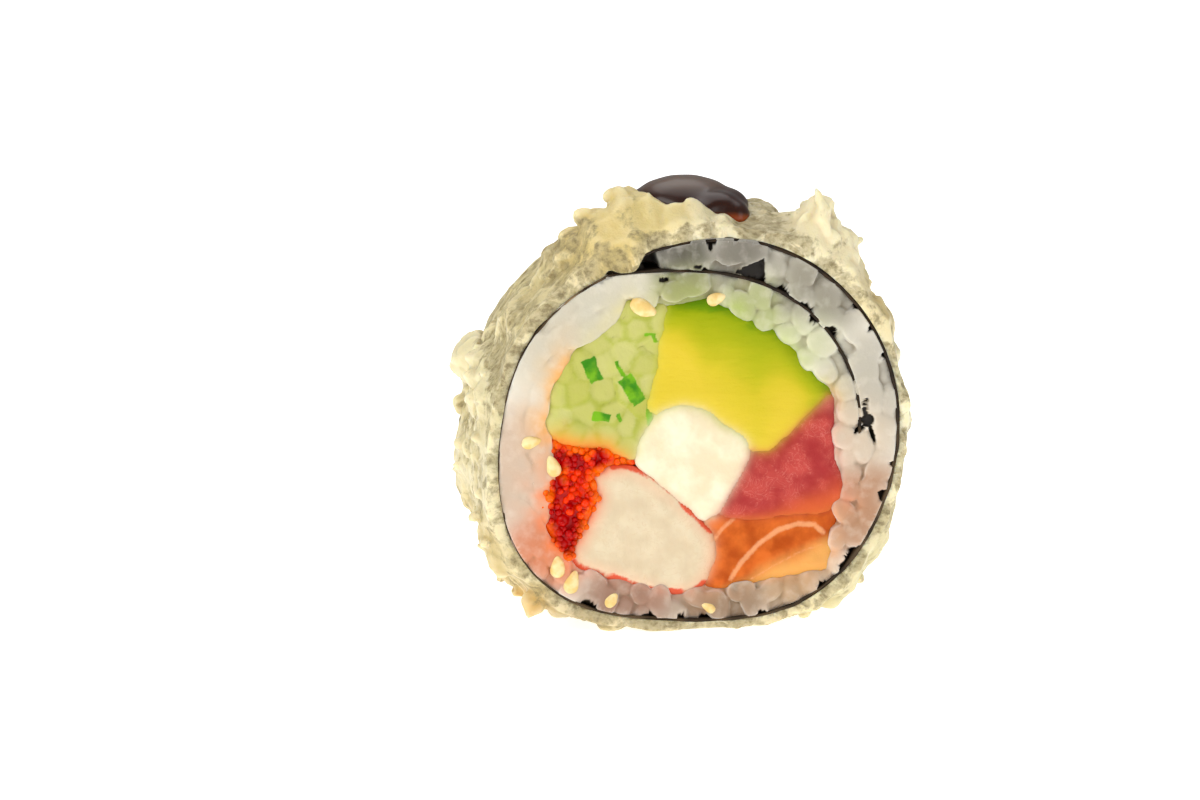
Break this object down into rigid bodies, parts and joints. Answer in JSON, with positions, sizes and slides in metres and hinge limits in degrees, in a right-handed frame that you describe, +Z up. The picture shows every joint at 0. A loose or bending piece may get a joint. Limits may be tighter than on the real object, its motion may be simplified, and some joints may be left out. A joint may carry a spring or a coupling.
{
  "type": "fried sushi roll slice",
  "caption": "Thick slice of a big batter-fried sushi roll: nori wound round rice with fish, avocado, cucumber, roe and cheese, in a cragged pale crust with dark sauce on top.",
  "frame": {"origin": "centre of the slice's box, on the table, under the flat foot of the crust", "axes": "+Y runs along the roll from the front cut face to the back one, +Z is up, and +X is to the right seen from the front"},
  "size_m": [0.0588, 0.027, 0.0579],
  "materials": {
    "batter": "rough, crisp, slightly greasy",
    "nori": "satin",
    "rice": "moist, translucent",
    "cream_cheese": "smooth, soft",
    "crab_stick": "moist, fine-grained",
    "tuna": "moist, translucent",
    "salmon": "moist, translucent",
    "avocado": "smooth, buttery",
    "roe": "wet, glossy",
    "cucumber": "wet, translucent",
    "sauce": "glossy syrup"
  },
  "bodies": {
    "root": {"batter_crust": "batter", "nori_sheet": "nori", "rice": "rice", "cream_cheese": "cream_cheese", "crab_stick": "crab_stick", "tuna": "tuna", "salmon": "salmon", "avocado": "avocado", "roe": "roe", "cucumber": "cucumber", "sauce_drop": "sauce"}
  },
  "joints": []
}
